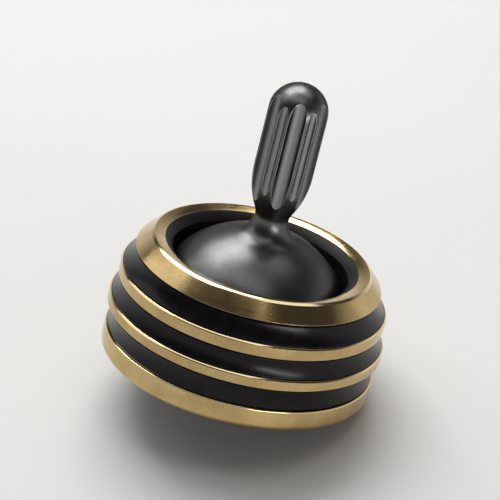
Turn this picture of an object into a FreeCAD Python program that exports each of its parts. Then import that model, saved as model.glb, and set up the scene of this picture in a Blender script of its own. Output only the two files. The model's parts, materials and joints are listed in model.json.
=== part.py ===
import FreeCAD, Part

import math
import os

# A hand-spun gyroscopic top at rest on a table, in millimetres.
#
# Everything is drawn upright first: Z is the spin axis and Z = 0 is the lowest
# point of the tip. The whole top is then leaned over about the centre of its tip
# ball until the lower edge of the base ring reaches the table, which is Z = 0.
# The origin is the point where the tip touches the table, and it leans towards +X.

# ---------------------------------------------------------------- tip
tip_ball_radius = 1.5
tip_drop = 5.15              # lowest point of the tip below the underside of the rotor
ball_clearance = 0.01        # tip ball in its socket
nose_drop = 0.3              # the holder reaches this far below the centre of the tip ball
nose_wall = 0.35

# ---------------------------------------------------------------- rings of the rotor
rim_height = 2.5
groove_top_height = 2.65
band_upper_height = 1.8
groove_middle_height = 2.8
band_lower_height = 1.55
groove_bottom_height = 3.3
base_height = 3.3

rim_face_width = 1.74        # of the narrow top face
rim_flare = 1.95             # growth in radius from the top face down to the rim's lower edge
rim_dish = 0.32              # fall of the top face from its outer to its inner edge
band_upper_step = 1.45       # the upper band stands out this far beyond the rim
band_lower_step = 0.65       # the lower band beyond the upper band
base_setback = 0.4           # the base ring inside the lower band
base_edge_fillet = 1.0
edge_chamfer = 0.22          # polished chamfer along the upper edges of the brass rings
foot_chamfer = 0.1           # along their lower edges
groove_inset = 0.03          # the grooves start this far inside the brass edges
groove_depth = 0.22          # how far a groove curves in from its own chord
ring_clearance = 0.03        # radial play of the rings on the cup

# ---------------------------------------------------------------- cup that carries the rings
cup_bore_radius = 12.42
cup_wall = 1.21
cup_lip_drop = 1.08          # height of the chamfer inside the lip
web_rise = 0.8               # underside of the web above the underside of the bearing
web_height = 2.4
boss_lip_height = 0.8        # the lip that the bearing is pressed against
boss_lip_width = 0.6
thread_wall = 0.7            # of the boss, each side of the retainer screws' threads
base_shelf = 1.1             # of the base ring above the cup's flange
flange_wall = 0.35           # outside the counterbores of the clamp screws

# ---------------------------------------------------------------- ball bearing
bearing_level = 5.6          # underside of the bearing above the underside of the rotor
bearing_bore_radius = 2.5
race_wall = 1.25             # radial thickness of each race
raceway_depth = 0.31
raceway_clearance = 0.06     # between a ball and the groove it runs in
ball_radius = 1.0
ball_spacing = 1.1           # smallest free length of the pitch circle between two balls
pocket_clearance = 0.08      # between a ball and its pocket in the cage
cage_rim = 0.22              # of the cage above and below its pockets
cage_clearance = 0.35        # between the cage and the races
cage_end_clearance = 0.3     # between the cage and the shields
shield_thickness = 0.25
shield_depth = 0.15          # the shields lie this far inside the bearing's ends
shield_seat = 0.45           # radial depth of the step that holds a shield
shield_clearance = 0.3       # between a shield and the inner race
seat_clearance = 0.01        # bearing in its housing, on its spindle and under its shields

# ---------------------------------------------------------------- screws
screw_radius = 0.8
screw_head_radius = 1.35
screw_head_height = 0.9
screw_clearance = 0.05
head_clearance = 0.1
drive_radius = 0.6           # across the corners of the hexagonal drive
drive_depth = 0.55
clamp_screw_count = 6
clamp_wall = 0.5             # from the cup's wall to the clamp screws' holes
clamp_engagement = 1.35      # of the clamp screws in the rim
retainer_screw_count = 3
retainer_screw_length = 3.4
retainer_thickness = 0.8

# ---------------------------------------------------------------- handle
handle_gap = 0.67            # between the cup's bore and the handle
dome_clearance = 0.6         # from the boss of the cup up to the underside of the handle
skirt_height = 3.2           # upright part at the foot of the handle
dome_height = 6.9            # from the top of that part to the crown of the dome, without its neck
dome_edge_rounding = 2.3
neck_rise = 2.35             # the waist of the neck above that crown
neck_radius = 2.39
neck_upper_rounding = 2.2
shoulder_height = 7.0        # from the waist up to the straight part of the knob
knob_height = 8.75           # of the straight part
knob_radius = 4.14
flute_pairs = 6
flute_turn = 50.5            # where the first wide flute lies, in degrees from +X
wide_flute_radius = 1.3
wide_flute_depth = 0.84
narrow_flute_radius = 0.8
narrow_flute_depth = 0.34

# ---------------------------------------------------------------- spindle and its tip holder
stud_step = 0.5              # the threaded ends are this much thinner than the bearing's seat
stud_depth = 6.0             # of the upper end in the handle
stud_clearance = 0.02
spacer_wall = 0.9
holder_bore_depth = 5.0
holder_collar_height = 1.4
holder_step = 0.8            # from the collar out to the body of the holder
holder_body_height = 2.7

# ---------------------------------------------------------------- levels above the table
underside = tip_drop
base_top = underside + base_height
groove_bottom_top = base_top + groove_bottom_height
band_lower_top = groove_bottom_top + band_lower_height
groove_middle_top = band_lower_top + groove_middle_height
band_upper_top = groove_middle_top + band_upper_height
groove_top_top = band_upper_top + groove_top_height
rim_top = groove_top_top + rim_height
lip_top = rim_top - rim_dish
flange_top = base_top - base_shelf

cage_height = 2 * (ball_radius + pocket_clearance + cage_rim)
bearing_width = cage_height + 2 * (cage_end_clearance + shield_thickness + shield_depth)
bearing_bottom = underside + bearing_level
bearing_top = bearing_bottom + bearing_width
bearing_middle = bearing_bottom + bearing_width / 2
boss_top = bearing_top + boss_lip_height
retainer_bottom = bearing_bottom - retainer_thickness
retainer_head_bottom = retainer_bottom - screw_head_height
retainer_end = retainer_bottom + retainer_screw_length
clamp_head_bottom = underside + head_clearance
clamp_head_top = clamp_head_bottom + screw_head_height
clamp_end = groove_top_top + clamp_engagement

handle_bottom = boss_top + dome_clearance
skirt_top = handle_bottom + skirt_height
crown = skirt_top + dome_height
waist = crown + neck_rise
shoulder = waist + shoulder_height
knob_centre = shoulder + knob_height
knob_top = knob_centre + knob_radius

# ---------------------------------------------------------------- radii
cup_wall_radius = cup_bore_radius + cup_wall
ring_bore_radius = cup_wall_radius + ring_clearance
rim_face_radius = ring_bore_radius + rim_face_width
rim_skirt_radius = rim_face_radius + rim_flare
band_upper_radius = rim_skirt_radius + band_upper_step
band_lower_radius = band_upper_radius + band_lower_step
base_radius = band_lower_radius - base_setback
dome_edge_radius = cup_bore_radius - handle_gap

half_race_gap = ball_radius + raceway_clearance - raceway_depth
inner_race_radius = bearing_bore_radius + race_wall
ball_pitch_radius = inner_race_radius + half_race_gap
outer_race_bore = ball_pitch_radius + half_race_gap
bearing_outer_radius = outer_race_bore + race_wall
ball_count = int(2 * math.pi * ball_pitch_radius / (2 * ball_radius + ball_spacing))

hole_radius = screw_radius + screw_clearance
housing_radius = bearing_outer_radius + seat_clearance
boss_lip_radius = bearing_outer_radius - boss_lip_width
retainer_pitch_radius = housing_radius + thread_wall + hole_radius
boss_radius = retainer_pitch_radius + hole_radius + thread_wall
clamp_pitch_radius = cup_wall_radius + clamp_wall + hole_radius
flange_radius = clamp_pitch_radius + screw_head_radius + head_clearance + flange_wall

stud_radius = bearing_bore_radius - stud_step
stud_bore_radius = stud_radius + stud_clearance
spacer_radius = bearing_bore_radius + spacer_wall
holder_radius = spacer_radius + holder_step
nose_radius = tip_ball_radius + nose_wall

# ---------------------------------------------------------------- resting lean
# The tip ball stays on the table while the round lower edge of the base ring comes
# down to it, so both circles touch Z = 0.
edge_circle_radius = base_radius - base_edge_fillet
edge_circle_rise = underside + base_edge_fillet - tip_ball_radius
edge_circle_reach = math.hypot(edge_circle_rise, edge_circle_radius)
lean = math.degrees(
    math.acos((base_edge_fillet - tip_ball_radius) / edge_circle_reach)
    - math.atan2(edge_circle_radius, edge_circle_rise)
)

origin = FreeCAD.Vector(0, 0, 0)
spin_axis = FreeCAD.Vector(0, 0, 1)
tip_centre = FreeCAD.Vector(0, 0, tip_ball_radius)
lean_axis = FreeCAD.Vector(0, 1, 0)


class Outline:
    """Half of a turned piece's section, drawn point by point as radius and height."""

    def __init__(self, radius, height):
        self.start = FreeCAD.Vector(radius, 0, height)
        self.here = self.start
        self.edges = []

    def line(self, radius, height):
        end = FreeCAD.Vector(radius, 0, height)
        self.edges.append(Part.makeLine(self.here, end))
        self.here = end
        return self

    def arc(self, through_radius, through_height, radius, height):
        through = FreeCAD.Vector(through_radius, 0, through_height)
        end = FreeCAD.Vector(radius, 0, height)
        self.edges.append(Part.Arc(self.here, through, end).toShape())
        self.here = end
        return self

    def turned(self):
        """The solid that the outline sweeps round the spin axis, closed by a straight line."""
        closing = Part.makeLine(self.here, self.start)
        return Part.Face(Part.Wire(self.edges + [closing])).revolve(origin, spin_axis, 360)


def around(radius, angle, height):
    """A point at a distance from the spin axis, its angle in degrees from +X."""
    turn = math.radians(angle)
    return FreeCAD.Vector(radius * math.cos(turn), radius * math.sin(turn), height)


def evenly(count, turn=0.0):
    """The angles of a pattern of equal steps around the spin axis."""
    return [turn + 360.0 * step / count for step in range(count)]


def cylinder(radius, bottom, top, across=0.0, angle=0.0):
    """An upright cylinder whose axis may lie away from the spin axis."""
    return Part.makeCylinder(radius, top - bottom, around(across, angle, bottom))


def tube(inner_radius, outer_radius, bottom, top):
    return cylinder(outer_radius, bottom, top).cut(cylinder(inner_radius, bottom, top))


def on_circle(centre_radius, centre_height, radius, degrees):
    """A point of a circle in the section, its angle measured from the outward direction."""
    angle = math.radians(degrees)
    return centre_radius + radius * math.cos(angle), centre_height + radius * math.sin(angle)


# ---------------------------------------------------------------- handle
def handle():
    """Knob, neck and dome, turned from one bar, with twelve flutes in the knob."""
    # the dome is a sphere that the rounding above the skirt touches from inside
    edge_circle = dome_edge_radius - dome_edge_rounding
    dome_radius = (edge_circle**2 + dome_height**2 - dome_edge_rounding**2) / (
        2 * (dome_height - dome_edge_rounding)
    )
    dome_centre = crown - dome_radius
    edge_angle = math.degrees(math.atan2(skirt_top - dome_centre, edge_circle))
    edge_end = on_circle(edge_circle, skirt_top, dome_edge_rounding, edge_angle)
    edge_through = on_circle(edge_circle, skirt_top, dome_edge_rounding, edge_angle / 2)

    # the neck's lower rounding touches the waist and the dome from outside
    rise = waist - dome_centre
    neck_lower_rounding = (rise**2 + neck_radius**2 - dome_radius**2) / (2 * (dome_radius - neck_radius))
    neck_circle = neck_radius + neck_lower_rounding
    neck_angle = math.degrees(math.atan2(rise, neck_circle))
    dome_end = on_circle(0, dome_centre, dome_radius, neck_angle)
    dome_through = on_circle(0, dome_centre, dome_radius, (edge_angle + neck_angle) / 2)
    neck_through = on_circle(neck_circle, waist, neck_lower_rounding, 180 + neck_angle / 2)

    # two arcs that touch each other lead from the waist out to the knob
    slope = 2 * math.degrees(math.atan2(knob_radius - neck_radius, shoulder_height))
    shoulder_rounding = shoulder_height / math.sin(math.radians(slope)) - neck_upper_rounding
    upper_circle = neck_radius + neck_upper_rounding
    upper_end = on_circle(upper_circle, waist, neck_upper_rounding, 180 - slope)
    upper_through = on_circle(upper_circle, waist, neck_upper_rounding, 180 - slope / 2)
    shoulder_circle = knob_radius - shoulder_rounding
    shoulder_through = on_circle(shoulder_circle, shoulder, shoulder_rounding, -slope / 2)
    knob_through = on_circle(0, knob_centre, knob_radius, 45)

    stud_bore_top = handle_bottom + stud_depth + stud_clearance
    profile = Outline(stud_bore_radius, handle_bottom)
    profile.line(dome_edge_radius, handle_bottom).line(dome_edge_radius, skirt_top)
    profile.arc(*edge_through, *edge_end)
    profile.arc(*dome_through, *dome_end)
    profile.arc(*neck_through, neck_radius, waist)
    profile.arc(*upper_through, *upper_end)
    profile.arc(*shoulder_through, knob_radius, shoulder)
    profile.line(knob_radius, knob_centre)
    profile.arc(*knob_through, 0, knob_top)
    profile.line(0, stud_bore_top).line(stud_bore_radius, stud_bore_top)

    half_step = 180.0 / flute_pairs
    flutes = []
    for angle in evenly(flute_pairs, flute_turn):
        flutes.append(flute(wide_flute_radius, wide_flute_depth, angle))
        flutes.append(flute(narrow_flute_radius, narrow_flute_depth, angle + half_step))
    return profile.turned().cut(flutes)


def flute(radius, depth, angle):
    """A round cutter that runs the whole height of the knob and takes out one flute."""
    return cylinder(radius, waist, knob_top, knob_radius - depth + radius, angle)


def spindle():
    """The shaft through the bearing, threaded into the handle and the tip holder."""
    seat = cylinder(bearing_bore_radius - seat_clearance, bearing_bottom, handle_bottom)
    upper = cylinder(stud_radius, handle_bottom, handle_bottom + stud_depth)
    lower = cylinder(stud_radius, bearing_bottom - holder_bore_depth, bearing_bottom)
    return seat.fuse([upper, lower]).removeSplitter()


def bearing_spacer():
    return tube(bearing_bore_radius, spacer_radius, bearing_top, handle_bottom)


def tip_holder():
    """The nut under the bearing, coned down to the socket of the tip ball."""
    collar_bottom = bearing_bottom - holder_collar_height
    body_bottom = collar_bottom - holder_body_height
    bore_bottom = bearing_bottom - holder_bore_depth - stud_clearance
    nose = tip_ball_radius - nose_drop
    profile = Outline(stud_bore_radius, bearing_bottom)
    profile.line(spacer_radius, bearing_bottom).line(spacer_radius, collar_bottom)
    profile.line(holder_radius - edge_chamfer, collar_bottom)
    profile.line(holder_radius, collar_bottom - edge_chamfer)
    profile.line(holder_radius, body_bottom).line(nose_radius, nose).line(0, nose)
    profile.line(0, bore_bottom).line(stud_bore_radius, bore_bottom)
    socket = Part.makeSphere(tip_ball_radius + ball_clearance, tip_centre)
    return profile.turned().cut(socket)


def tip_ball():
    return Part.makeSphere(tip_ball_radius, tip_centre)


# ---------------------------------------------------------------- ball bearing
def raceway():
    """The ring-shaped space that the balls run in."""
    centre = FreeCAD.Vector(0, 0, bearing_middle)
    return Part.makeTorus(ball_pitch_radius, ball_radius + raceway_clearance, centre, spin_axis)


def bearing_inner_race():
    race = tube(bearing_bore_radius, inner_race_radius, bearing_bottom, bearing_top)
    return race.cut(raceway())


def bearing_outer_race():
    race = tube(outer_race_bore, bearing_outer_radius, bearing_bottom, bearing_top)
    step_height = shield_depth + shield_thickness
    step_radius = outer_race_bore + shield_seat
    lower_step = cylinder(step_radius, bearing_bottom, bearing_bottom + step_height)
    upper_step = cylinder(step_radius, bearing_top - step_height, bearing_top)
    return race.cut([raceway(), lower_step, upper_step])


def bearing_shield(bottom):
    inner_radius = inner_race_radius + shield_clearance
    outer_radius = outer_race_bore + shield_seat - seat_clearance
    return tube(inner_radius, outer_radius, bottom, bottom + shield_thickness)


def bearing_balls():
    centres = [around(ball_pitch_radius, angle, bearing_middle) for angle in evenly(ball_count)]
    return Part.makeCompound([Part.makeSphere(ball_radius, centre) for centre in centres])


def bearing_cage():
    """A ring with a round pocket drilled straight through it for every ball."""
    ring = tube(
        inner_race_radius + cage_clearance,
        outer_race_bore - cage_clearance,
        bearing_middle - cage_height / 2,
        bearing_middle + cage_height / 2,
    )
    pockets = []
    for angle in evenly(ball_count):
        start = around(inner_race_radius, angle, bearing_middle)
        outward = around(1, angle, 0)
        pockets.append(
            Part.makeCylinder(ball_radius + pocket_clearance, 2 * half_race_gap, start, outward)
        )
    return ring.cut(pockets)


# ---------------------------------------------------------------- screws
def screw(across, angle, head_bottom, end):
    """A cap screw driven upwards from below, with a hexagonal drive in its head."""
    head_top = head_bottom + screw_head_height
    head = cylinder(screw_head_radius, head_bottom, head_top, across, angle)
    shank = cylinder(screw_radius, head_top, end, across, angle)
    centre = around(across, angle, head_bottom)
    corners = [centre + around(drive_radius, turn, 0) for turn in evenly(6)]
    drive = Part.Face(Part.makePolygon(corners + corners[:1])).extrude(spin_axis * drive_depth)
    return head.fuse(shank).removeSplitter().cut(drive)


def clamp_screws():
    """The screws that hold the stack of rings down on the cup's flange."""
    return Part.makeCompound(
        [
            screw(clamp_pitch_radius, angle, clamp_head_bottom, clamp_end)
            for angle in evenly(clamp_screw_count)
        ]
    )


def clamp_holes(bottom, top, radius=hole_radius):
    return [cylinder(radius, bottom, top, clamp_pitch_radius, angle) for angle in evenly(clamp_screw_count)]


def retainer_screws():
    return Part.makeCompound(
        [
            screw(retainer_pitch_radius, angle, retainer_head_bottom, retainer_end)
            for angle in evenly(retainer_screw_count)
        ]
    )


def retainer_holes(bottom, top):
    return [
        cylinder(hole_radius, bottom, top, retainer_pitch_radius, angle)
        for angle in evenly(retainer_screw_count)
    ]


# ---------------------------------------------------------------- rotor
def retainer_plate():
    plate = tube(boss_lip_radius, boss_radius, retainer_bottom, bearing_bottom)
    return plate.cut(retainer_holes(retainer_bottom, bearing_bottom))


def rotor_cup():
    """Wall, web and bearing boss in one piece, with a flange under the rings."""
    web_bottom = bearing_bottom + web_rise
    web_top = web_bottom + web_height
    profile = Outline(cup_bore_radius, underside)
    profile.line(flange_radius, underside).line(flange_radius, flange_top)
    profile.line(cup_wall_radius, flange_top).line(cup_wall_radius, lip_top)
    profile.line(cup_bore_radius, lip_top - cup_lip_drop).line(cup_bore_radius, web_top)
    profile.line(boss_radius, web_top).line(boss_radius, boss_top)
    profile.line(boss_lip_radius, boss_top).line(boss_lip_radius, bearing_top)
    profile.line(housing_radius, bearing_top).line(housing_radius, bearing_bottom)
    profile.line(boss_radius, bearing_bottom).line(boss_radius, web_bottom)
    profile.line(cup_bore_radius, web_bottom)
    counterbores = clamp_holes(underside, clamp_head_top, screw_head_radius + head_clearance)
    holes = clamp_holes(underside, flange_top)
    threads = retainer_holes(bearing_bottom, retainer_end + screw_clearance)
    return profile.turned().cut(counterbores + holes + threads)


def rim_ring():
    """The top ring: a narrow dished face and a face that widens downwards."""
    slope = rim_flare / (rim_height - edge_chamfer)
    profile = Outline(ring_bore_radius, groove_top_top)
    profile.line(rim_skirt_radius - edge_chamfer, groove_top_top)
    profile.line(rim_skirt_radius, groove_top_top + edge_chamfer)
    profile.line(rim_face_radius + slope * edge_chamfer, rim_top - edge_chamfer)
    profile.line(rim_face_radius - edge_chamfer, rim_top).line(ring_bore_radius, lip_top)
    return profile.turned().cut(clamp_holes(groove_top_top, clamp_end + screw_clearance))


def band_ring(radius, bottom, top):
    """A plain brass ring with chamfered edges."""
    profile = Outline(ring_bore_radius, bottom)
    profile.line(radius - foot_chamfer, bottom).line(radius, bottom + foot_chamfer)
    profile.line(radius, top - edge_chamfer).line(radius - edge_chamfer, top)
    profile.line(ring_bore_radius, top)
    return profile.turned().cut(clamp_holes(bottom, top))


def groove_ring(lower_edge, upper_edge, bottom, top):
    """A black ring whose outside is a shallow cove between the edges of its brass neighbours."""
    lower = lower_edge - groove_inset
    upper = upper_edge - groove_inset
    chord = math.hypot(upper - lower, top - bottom)
    middle_radius = (lower + upper) / 2 - groove_depth * (top - bottom) / chord
    middle_height = (bottom + top) / 2 - groove_depth * (lower - upper) / chord
    profile = Outline(ring_bore_radius, bottom).line(lower, bottom)
    profile.arc(middle_radius, middle_height, upper, top).line(ring_bore_radius, top)
    return profile.turned().cut(clamp_holes(bottom, top))


def groove_ring_top():
    lower_edge = band_upper_radius - edge_chamfer
    return groove_ring(lower_edge, rim_skirt_radius - edge_chamfer, band_upper_top, groove_top_top)


def groove_ring_middle():
    lower_edge = band_lower_radius - edge_chamfer
    return groove_ring(lower_edge, band_upper_radius - foot_chamfer, band_lower_top, groove_middle_top)


def groove_ring_bottom():
    lower_edge = base_radius - edge_chamfer
    return groove_ring(lower_edge, band_lower_radius - foot_chamfer, base_top, groove_bottom_top)


def base_ring():
    """The lowest ring, which hides the flange of the cup and takes the weight when the top rests."""
    fillet_centre = underside + base_edge_fillet
    fillet_through = on_circle(edge_circle_radius, fillet_centre, base_edge_fillet, -45)
    recess_radius = flange_radius + ring_clearance
    profile = Outline(recess_radius, underside).line(edge_circle_radius, underside)
    profile.arc(*fillet_through, base_radius, fillet_centre)
    profile.line(base_radius, base_top - edge_chamfer).line(base_radius - edge_chamfer, base_top)
    profile.line(ring_bore_radius, base_top).line(ring_bore_radius, flange_top)
    profile.line(recess_radius, flange_top)
    return profile.turned().cut(clamp_holes(flange_top, base_top))


pieces = {
    "handle": handle(),
    "spindle": spindle(),
    "bearing_spacer": bearing_spacer(),
    "bearing_inner_race": bearing_inner_race(),
    "tip_holder": tip_holder(),
    "tip_ball": tip_ball(),
    "bearing_balls": bearing_balls(),
    "bearing_cage": bearing_cage(),
    "bearing_outer_race": bearing_outer_race(),
    "bearing_shield_top": bearing_shield(bearing_top - shield_depth - shield_thickness),
    "bearing_shield_bottom": bearing_shield(bearing_bottom + shield_depth),
    "retainer_plate": retainer_plate(),
    "retainer_screws": retainer_screws(),
    "rotor_cup": rotor_cup(),
    "rim_ring": rim_ring(),
    "groove_ring_top": groove_ring_top(),
    "band_ring_upper": band_ring(band_upper_radius, groove_middle_top, band_upper_top),
    "groove_ring_middle": groove_ring_middle(),
    "band_ring_lower": band_ring(band_lower_radius, groove_bottom_top, band_lower_top),
    "groove_ring_bottom": groove_ring_bottom(),
    "base_ring": base_ring(),
    "clamp_screws": clamp_screws(),
}

os.makedirs("parts", exist_ok=True)
for name, shape in pieces.items():
    shape.rotate(tip_centre, lean_axis, lean)
    shape.exportStep(f"parts/{name}.step")
    print(f"{name}: {len(shape.Solids)} solid(s), valid {shape.isValid()}, {shape.Volume:.1f} mm3")
print(f"resting lean {lean:.3f} degrees, middle of the bearing {bearing_middle:.3f} mm up the spin axis")
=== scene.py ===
import json
import math

import bmesh
import bpy
from mathutils import Matrix, Vector

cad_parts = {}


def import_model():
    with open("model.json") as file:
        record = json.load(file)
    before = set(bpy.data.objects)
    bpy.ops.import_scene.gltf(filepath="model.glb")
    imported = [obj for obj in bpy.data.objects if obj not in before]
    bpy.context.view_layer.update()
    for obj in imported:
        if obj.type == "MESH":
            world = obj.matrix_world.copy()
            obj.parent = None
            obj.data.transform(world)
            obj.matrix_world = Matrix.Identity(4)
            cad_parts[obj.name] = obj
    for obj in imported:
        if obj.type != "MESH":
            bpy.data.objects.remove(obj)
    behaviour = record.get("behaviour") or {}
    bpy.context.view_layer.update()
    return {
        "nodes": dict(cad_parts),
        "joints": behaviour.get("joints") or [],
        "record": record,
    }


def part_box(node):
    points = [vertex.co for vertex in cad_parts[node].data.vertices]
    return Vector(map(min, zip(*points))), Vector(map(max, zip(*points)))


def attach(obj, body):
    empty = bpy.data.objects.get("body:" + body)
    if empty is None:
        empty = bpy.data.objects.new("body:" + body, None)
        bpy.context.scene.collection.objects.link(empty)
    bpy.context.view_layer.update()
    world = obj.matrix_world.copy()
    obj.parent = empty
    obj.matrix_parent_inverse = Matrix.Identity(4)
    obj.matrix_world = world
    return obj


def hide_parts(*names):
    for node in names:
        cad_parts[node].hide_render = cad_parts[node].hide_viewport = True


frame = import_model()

# A hand-spun gyroscopic top at rest: its fluted handle, the banded rotor, the screws and
# the bearing get their finish here. Lengths are in metres, and a size that the frame holds
# is measured from it.
#
# A turned piece is drawn upright first, round the Z axis and with the centre of the tip
# ball as its zero level, and is then leaned over to where the top lies.

MM = 0.001

# ---------------------------------------------------------------- sizes
EDGE_ROUNDING = 0.04 * MM      # of the turned corners
EDGE_STEPS = 2                 # points along one rounded corner
TURN_SEGMENTS = 288            # round a turned ring
MERGE_DISTANCE = 0.001 * MM
SAME = 0.005 * MM              # two measured sizes this close are one size
CHAMFER_SLOPE = (0.68, 0.9)    # how far up the normals of polished chamfers point
COVE_DEPTH = 0.22 * MM         # of a black groove, under the line from edge to edge
COVE_STEPS = 10
BASE_FOOT = 1.0 * MM           # rounding of the base ring's lower edge
FOOT_STEPS = 8

FLUTE_PAIRS = 6
FLUTE_TURN = 50.5              # where the first wide flute lies, in degrees
WIDE_FLUTE = (1.3 * MM, 0.84 * MM)      # radius and depth
NARROW_FLUTE = (0.8 * MM, 0.34 * MM)
FLUTE_STEPS = 16               # columns across a flute
LAND_STEPS = 4                 # columns across the land between two flutes
KNOB_HEIGHT = 8.75 * MM        # of the straight part
SHOULDER_HEIGHT = 7.0 * MM     # from the waist of the neck up to that part
NECK_UPPER_ROUNDING = 2.2 * MM
NECK_RADIUS = 2.39 * MM
NECK_RISE = 2.35 * MM          # from the crown of the dome to the waist
DOME_HEIGHT = 6.9 * MM         # from the skirt to that crown
DOME_EDGE_ROUNDING = 2.3 * MM
SKIRT_HEIGHT = 3.2 * MM
KNOB_ROWS = 22                 # over the round top of the knob
FLUTE_ROWS = 14                # down its straight part
SHOULDER_ROWS = 22             # from there in to the waist
SHOULDER_STEPS = 36            # points of the arcs that the section is drawn with
WAIST_STEPS = 12
NECK_STEPS = 14
DOME_STEPS = 26
DOME_EDGE_STEPS = 10
FLUTE_EDGE_ANGLE = 11          # a flute's edges turn at least this far, in degrees

SCREW_HEAD_HEIGHT = 0.9 * MM
SCREW_RADIUS = 0.8 * MM
SCREW_BEVEL = 0.07 * MM
HEAD_SEGMENTS = 48             # round a screw's head
SHANK_SEGMENTS = 24
DRIVE_SIDES = 6
DRIVE_RADIUS = 0.6 * MM        # from the middle of the drive to its corners
DRIVE_DEPTH = 0.55 * MM
CLAMP_SCREW_COUNT = 6
RETAINER_SCREW_COUNT = 3
BORE_CLEARANCE = 0.1 * MM      # round the clamp screws' heads
BORE_MOUTH = 0.08 * MM         # chamfer of their counterbores
BORE_SEGMENTS = 64
SHARP_ANGLE = 50               # edges that turn this far stay sharp, in degrees
HOLDER_CORE = 1.0 * MM         # of the tip holder, left open inside the ball and the stud

# ---------------------------------------------------------------- the spin frame
spin = next(joint for joint in frame["joints"] if joint["name"] == "rotor_spin")
LEAN = math.atan2(spin["axis"][0], spin["axis"][2])
ball_low, ball_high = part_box("tip_ball")
TIP = (ball_low + ball_high) / 2
LEANED = Matrix.Translation(TIP) @ Matrix.Rotation(LEAN, 4, "Y")
slots = {part["node"]: part["material_slot"] for part in frame["record"]["subparts"]}


class Turned:
    """Radii and levels of a CAD node round the spin axis."""

    def __init__(self, node):
        upright = LEANED.inverted()
        corners = [upright @ vertex.co for vertex in frame["nodes"][node].data.vertices]
        self.corners = [(math.hypot(corner.x, corner.y), corner.z) for corner in corners]
        self.outer = max(radius for radius, level in self.corners)
        self.inner = min(radius for radius, level in self.corners)
        self.bottom = min(level for radius, level in self.corners)
        self.top = max(level for radius, level in self.corners)

    def radii(self, level):
        """The smallest and the largest radius at a level."""
        found = [radius for radius, here in self.corners if abs(here - level) < SAME]
        return min(found), max(found)

    def levels(self, radius):
        """The lowest and the highest corner at a radius."""
        found = [level for here, level in self.corners if abs(here - radius) < SAME]
        return min(found), max(found)

    def steps(self, radius):
        """Every level at which the outline turns at a radius, from the lowest up."""
        steps = []
        for here, level in sorted(self.corners, key=lambda corner: corner[1]):
            if abs(here - radius) < SAME and (not steps or level - steps[-1] > SAME):
                steps.append(level)
        return steps


# ---------------------------------------------------------------- node trees
class Nodes:
    """A node tree under construction, with short ways to add its nodes."""

    def __init__(self, tree):
        self.nodes = tree.nodes
        self.links = tree.links

    def add(self, kind, inputs=None, **settings):
        """A node with its settings, each input a value or the socket that it comes from."""
        node = self.nodes.new(kind)
        for name, value in settings.items():
            setattr(node, name, value)
        for name, value in (inputs or {}).items():
            if isinstance(value, bpy.types.NodeSocket):
                self.links.new(value, node.inputs[name])
            else:
                node.inputs[name].default_value = value
        return node

    def math(self, operation, a, b=0.0, clamp=False):
        return self.add("ShaderNodeMath", {0: a, 1: b}, operation=operation, use_clamp=clamp).outputs[0]

    def plus(self, a, b):
        return self.math("ADD", a, b)

    def minus(self, a, b):
        return self.math("SUBTRACT", a, b)

    def times(self, a, b):
        return self.math("MULTIPLY", a, b)

    def ramp(self, value, low, high, low_out=0.0, high_out=1.0):
        """A value that runs evenly from low_out at low to high_out at high and stays there."""
        inputs = {"Value": value, 1: low, 2: high, 3: low_out, 4: high_out}
        return self.add("ShaderNodeMapRange", inputs).outputs[0]

    def mix(self, factor, a, b):
        """A colour between two colours or sockets."""
        a, b = [colour if isinstance(colour, bpy.types.NodeSocket) else (*colour, 1) for colour in (a, b)]
        return self.add("ShaderNodeMix", {0: factor, 6: a, 7: b}, data_type="RGBA").outputs[2]

    def studio_rays(self):
        """1 for the rays that show the studio itself: seen, mirrored or through glass."""
        rays = self.add("ShaderNodeLightPath").outputs
        seen = self.math("MAXIMUM", rays["Is Camera Ray"], rays["Is Glossy Ray"])
        return self.math("MAXIMUM", seen, rays["Is Transmission Ray"])


# ---------------------------------------------------------------- colours
BRASS = (0.6, 0.45, 0.22)
BRASS_CLEAN = (0.64, 0.47, 0.215)
BRASS_TARNISHED = (0.5, 0.355, 0.15)
BRASS_GRAIN = (0.36, 0.25, 0.1)
BRASS_SPECK = (0.24, 0.16, 0.07)
BRASS_SCRATCH = (0.85, 0.72, 0.46)
# Painted highlight: brass chamfers and sharp edges are painted paler to stand for their bright lines, partly
# polish and edge wear.
BRASS_POLISH_HIGHLIGHT = (0.86, 0.7, 0.41)
BRASS_EDGE_WEAR_AND_HIGHLIGHT = (0.95, 0.83, 0.57)
CAGE_CLEAN = (0.62, 0.46, 0.23)
CAGE_STAINED = (0.45, 0.31, 0.14)
GROOVE = (0.006, 0.006, 0.007)
GROOVE_DEEP = (0.004, 0.004, 0.005)
GROOVE_CLOUD = (0.008, 0.0078, 0.008)
GROOVE_DUST = (0.03, 0.029, 0.027)
GROOVE_SCRATCH = (0.04, 0.04, 0.04)
CUP = (0.016, 0.016, 0.017)
CUP_DEEP = (0.007, 0.007, 0.0075)
CUP_CLOUD = (0.012, 0.0118, 0.0115)
CUP_RUBBED = (0.16, 0.155, 0.145)
GUNMETAL = (0.15, 0.149, 0.147)
GUNMETAL_DEEP = (0.125, 0.124, 0.123)
GUNMETAL_CLOUD = (0.155, 0.154, 0.152)
GUNMETAL_GRAIN = (0.075, 0.074, 0.073)
GUNMETAL_SCRATCH = (0.4, 0.4, 0.39)
# Painted highlight: the handle's sharp edges are painted near white, partly edge wear.
GUNMETAL_EDGE_WEAR_AND_HIGHLIGHT = (0.8, 0.79, 0.77)
GUNMETAL_GLANCE = (0.3, 0.3, 0.3, 1)    # tint of what it mirrors at a glancing angle
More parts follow.
